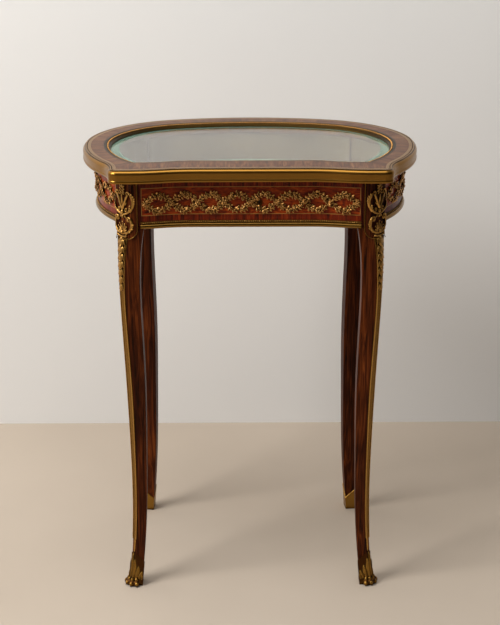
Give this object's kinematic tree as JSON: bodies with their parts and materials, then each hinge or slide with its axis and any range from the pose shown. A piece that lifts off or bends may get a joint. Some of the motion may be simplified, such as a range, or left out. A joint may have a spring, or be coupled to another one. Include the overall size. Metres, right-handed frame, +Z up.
{
  "type": "collectors display table",
  "caption": "Kidney-shaped glass-topped display table on cabriole legs, with a hinged bevelled lid, a lined shallow case and gilt-bronze mounts.",
  "frame": {"origin": "on the floor under the middle of the lid's outline box", "axes": "+X to the right seen from the front, +Y from the front to the hinged back, +Z up"},
  "size_m": [0.582, 0.42, 0.77],
  "materials": {
    "case_veneer": "french polished",
    "leg_veneer": "french polished",
    "lid_veneer": "french polished",
    "carcase_wood": "plain",
    "gilt_bronze": "gilt, toned in the hollows",
    "inner_moulding_brass": "gilt",
    "hardware_brass": "satin",
    "lock_steel": "satin",
    "bevelled_glass": "clear, bevelled",
    "velvet": "velvet"
  },
  "bodies": {
    "table": {"front_rail": "case_veneer", "right_rail": "case_veneer", "back_rail": "case_veneer", "left_rail": "case_veneer", "bottom_board": "carcase_wood", "glue_blocks": "carcase_wood", "display_pad": "velvet", "velvet_lining": "velvet", "lock_case": "lock_steel", "keyhole_escutcheon": "gilt_bronze", "hinge_left_case_leaf": "hardware_brass", "hinge_right_case_leaf": "hardware_brass", "hinge_left_pin": "hardware_brass", "hinge_right_pin": "hardware_brass", "case_hinge_screws": "hardware_brass", "front_base_moulding": "gilt_bronze", "front_garland": "gilt_bronze", "right_base_moulding": "gilt_bronze", "right_garland": "gilt_bronze", "back_base_moulding": "gilt_bronze", "back_garland": "gilt_bronze", "left_base_moulding": "gilt_bronze", "left_garland": "gilt_bronze", "front_left_leg": "leg_veneer", "front_left_filet": "gilt_bronze", "front_left_sabot": "gilt_bronze", "front_left_husk_drop": "gilt_bronze", "front_left_chute": "gilt_bronze", "front_right_leg": "leg_veneer", "front_right_filet": "gilt_bronze", "front_right_sabot": "gilt_bronze", "front_right_husk_drop": "gilt_bronze", "front_right_chute": "gilt_bronze", "back_left_leg": "leg_veneer", "back_left_filet": "gilt_bronze", "back_left_sabot": "gilt_bronze", "back_left_husk_drop": "gilt_bronze", "back_left_chute": "gilt_bronze", "back_right_leg": "leg_veneer", "back_right_filet": "gilt_bronze", "back_right_sabot": "gilt_bronze", "back_right_husk_drop": "gilt_bronze", "back_right_chute": "gilt_bronze"},
    "lid": {"lid_rim": "gilt_bronze", "lid_frame_front": "lid_veneer", "lid_frame_right": "lid_veneer", "lid_frame_back": "lid_veneer", "lid_frame_left": "lid_veneer", "lid_inner_moulding": "inner_moulding_brass", "glass_pane": "bevelled_glass", "strike_plate": "hardware_brass", "hinge_left_lid_leaf": "hardware_brass", "hinge_right_lid_leaf": "hardware_brass", "lid_hinge_screws": "hardware_brass"},
    "lock_bolt": {"lock_bolt": "lock_steel"}
  },
  "joints": [
    {"name": "lid_hinge", "type": "hinge", "parent": "table", "child": "lid", "pos_m": [0, 0.1925, 0.74785], "axis": [-1, 0, 0], "range_deg": [0, 90]},
    {"name": "lock_bolt_slide", "type": "slide", "parent": "table", "child": "lock_bolt", "axis": [0, 0, 1], "range_m": [0, 0.006]}
  ]
}
